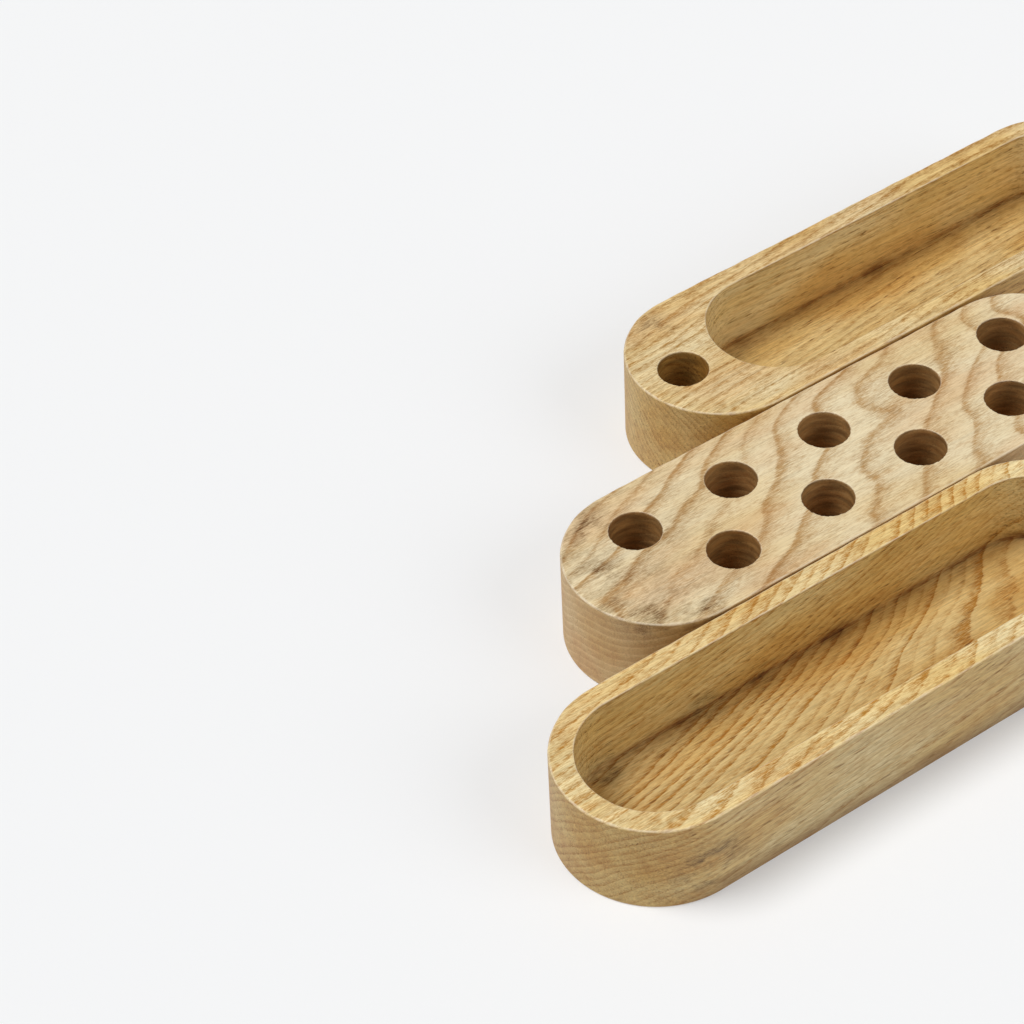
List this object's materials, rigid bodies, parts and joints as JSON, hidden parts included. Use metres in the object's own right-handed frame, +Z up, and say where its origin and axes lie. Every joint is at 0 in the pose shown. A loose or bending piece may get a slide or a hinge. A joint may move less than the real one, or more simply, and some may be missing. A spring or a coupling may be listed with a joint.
{
  "type": "tool storage caddy",
  "caption": "Low wooden desk caddy of separate pill-shaped blocks: an upright holder with staggered round holes between trays with round-ended recesses.",
  "frame": {"origin": "middle of the tool block's underside, on the surface that all three blocks rest on", "axes": "+X along the blocks towards the rear tray's recess, +Y to the rear from the tool block to the rear tray, +Z up out of the holes and recesses"},
  "size_m": [0.2406, 0.1372, 0.024],
  "materials": {
    "ash_pale": "sanded, unfinished, matt, pale cream with tan figure",
    "ash_golden": "sanded, lightly oiled, satin, golden with ochre growth lines",
    "ash_tan": "sanded, lightly oiled, satin, tan with ochre growth lines"
  },
  "bodies": {
    "tool_block": {"tool_block": "ash_pale"},
    "front_tray": {"front_tray": "ash_golden"},
    "rear_tray": {"rear_tray": "ash_tan"}
  },
  "joints": [
    {"name": "front_tray_slide", "type": "slide", "parent": "tool_block", "child": "front_tray", "axis": [1, 0, 0], "range_m": [-0.0173, 0.0907]},
    {"name": "rear_tray_slide", "type": "slide", "parent": "tool_block", "child": "rear_tray", "axis": [1, 0, 0], "range_m": [-0.1059, 0.0021]}
  ]
}
